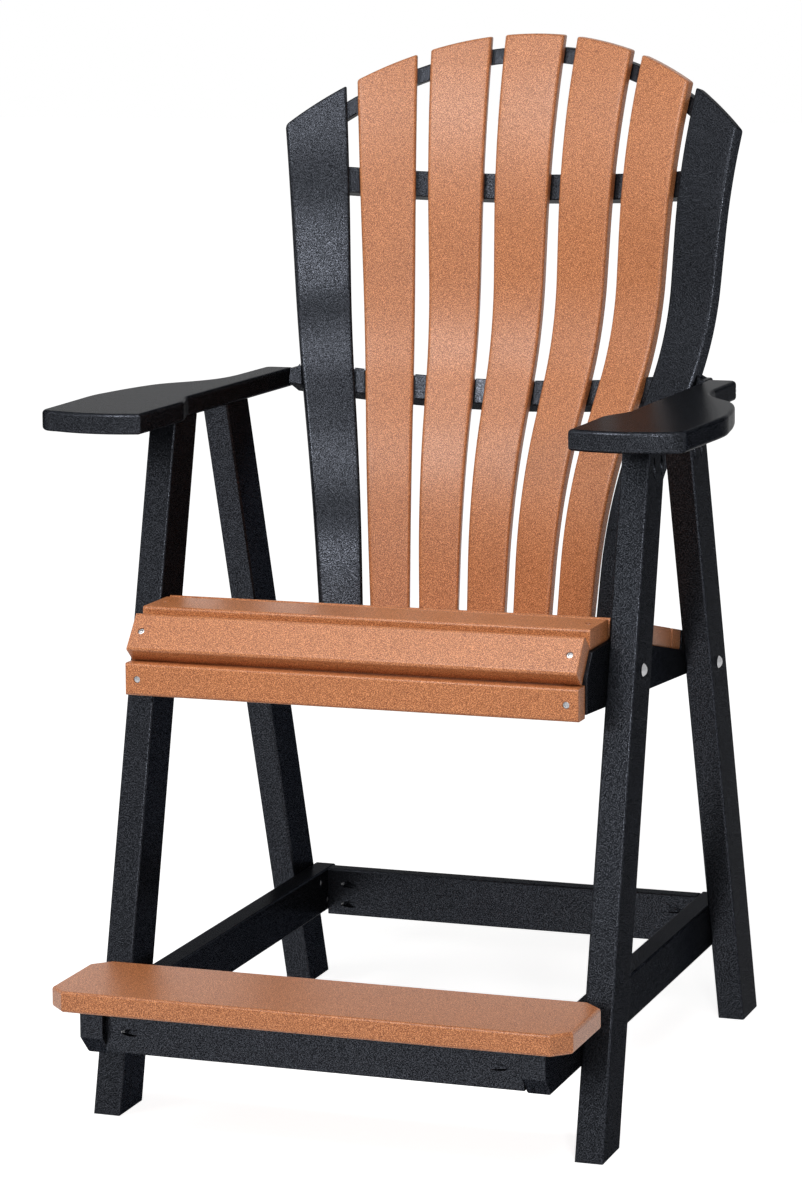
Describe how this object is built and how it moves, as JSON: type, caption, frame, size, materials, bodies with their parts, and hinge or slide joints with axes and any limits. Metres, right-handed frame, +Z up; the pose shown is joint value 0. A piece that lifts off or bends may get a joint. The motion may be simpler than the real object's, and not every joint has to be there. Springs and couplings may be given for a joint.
{
  "type": "adirondack bar chair",
  "caption": "Tall outdoor lounge chair with a fanned, contoured slat back, wide arms, a sloping slat seat and a footrest, in black and cedar-coloured poly lumber.",
  "frame": {"origin": "on the floor, under the middle of the chair's bounding box", "axes": "+X to the sitter's left, -Y to the front of the chair, +Z up"},
  "size_m": [0.904, 1.0378, 1.424],
  "materials": {
    "black_lumber": "satin, brushed grain",
    "cedar_lumber": "satin, speckled grain",
    "fastener_steel": "plain stainless"
  },
  "bodies": {
    "root": {"leg_front_left": "black_lumber", "leg_front_right": "black_lumber", "leg_rear_left": "black_lumber", "leg_rear_right": "black_lumber", "arm_left": "black_lumber", "arm_right": "black_lumber", "stretcher_left": "black_lumber", "stretcher_right": "black_lumber", "rear_cross": "black_lumber", "foot_cross": "black_lumber", "footrest": "cedar_lumber", "seat_rail_left": "black_lumber", "seat_rail_right": "black_lumber", "apron": "cedar_lumber", "nosing": "cedar_lumber", "seat_slat_1": "cedar_lumber", "seat_slat_2": "cedar_lumber", "seat_slat_3": "cedar_lumber", "seat_slat_4": "cedar_lumber", "seat_slat_rear": "cedar_lumber", "back_foot": "black_lumber", "back_slat_1": "black_lumber", "back_slat_2": "cedar_lumber", "back_slat_3": "cedar_lumber", "back_slat_4": "cedar_lumber", "back_slat_5": "cedar_lumber", "back_slat_6": "cedar_lumber", "back_slat_7": "black_lumber", "arm_rail": "black_lumber", "upper_rail": "black_lumber", "arch_rail": "black_lumber", "seat_bolts": "fastener_steel", "seat_washers": "fastener_steel", "seat_nuts": "fastener_steel", "apron_screws": "fastener_steel", "nosing_screws": "fastener_steel", "seat_screws": "fastener_steel", "footrest_screws": "fastener_steel", "stretcher_screws": "fastener_steel", "leg_pocket_screws": "fastener_steel", "cross_pocket_screws": "fastener_steel", "tail_screws": "fastener_steel", "toe_screws": "fastener_steel", "arm_rail_screws": "fastener_steel", "upper_rail_screws": "fastener_steel", "arch_rail_screws": "fastener_steel"}
  },
  "joints": []
}
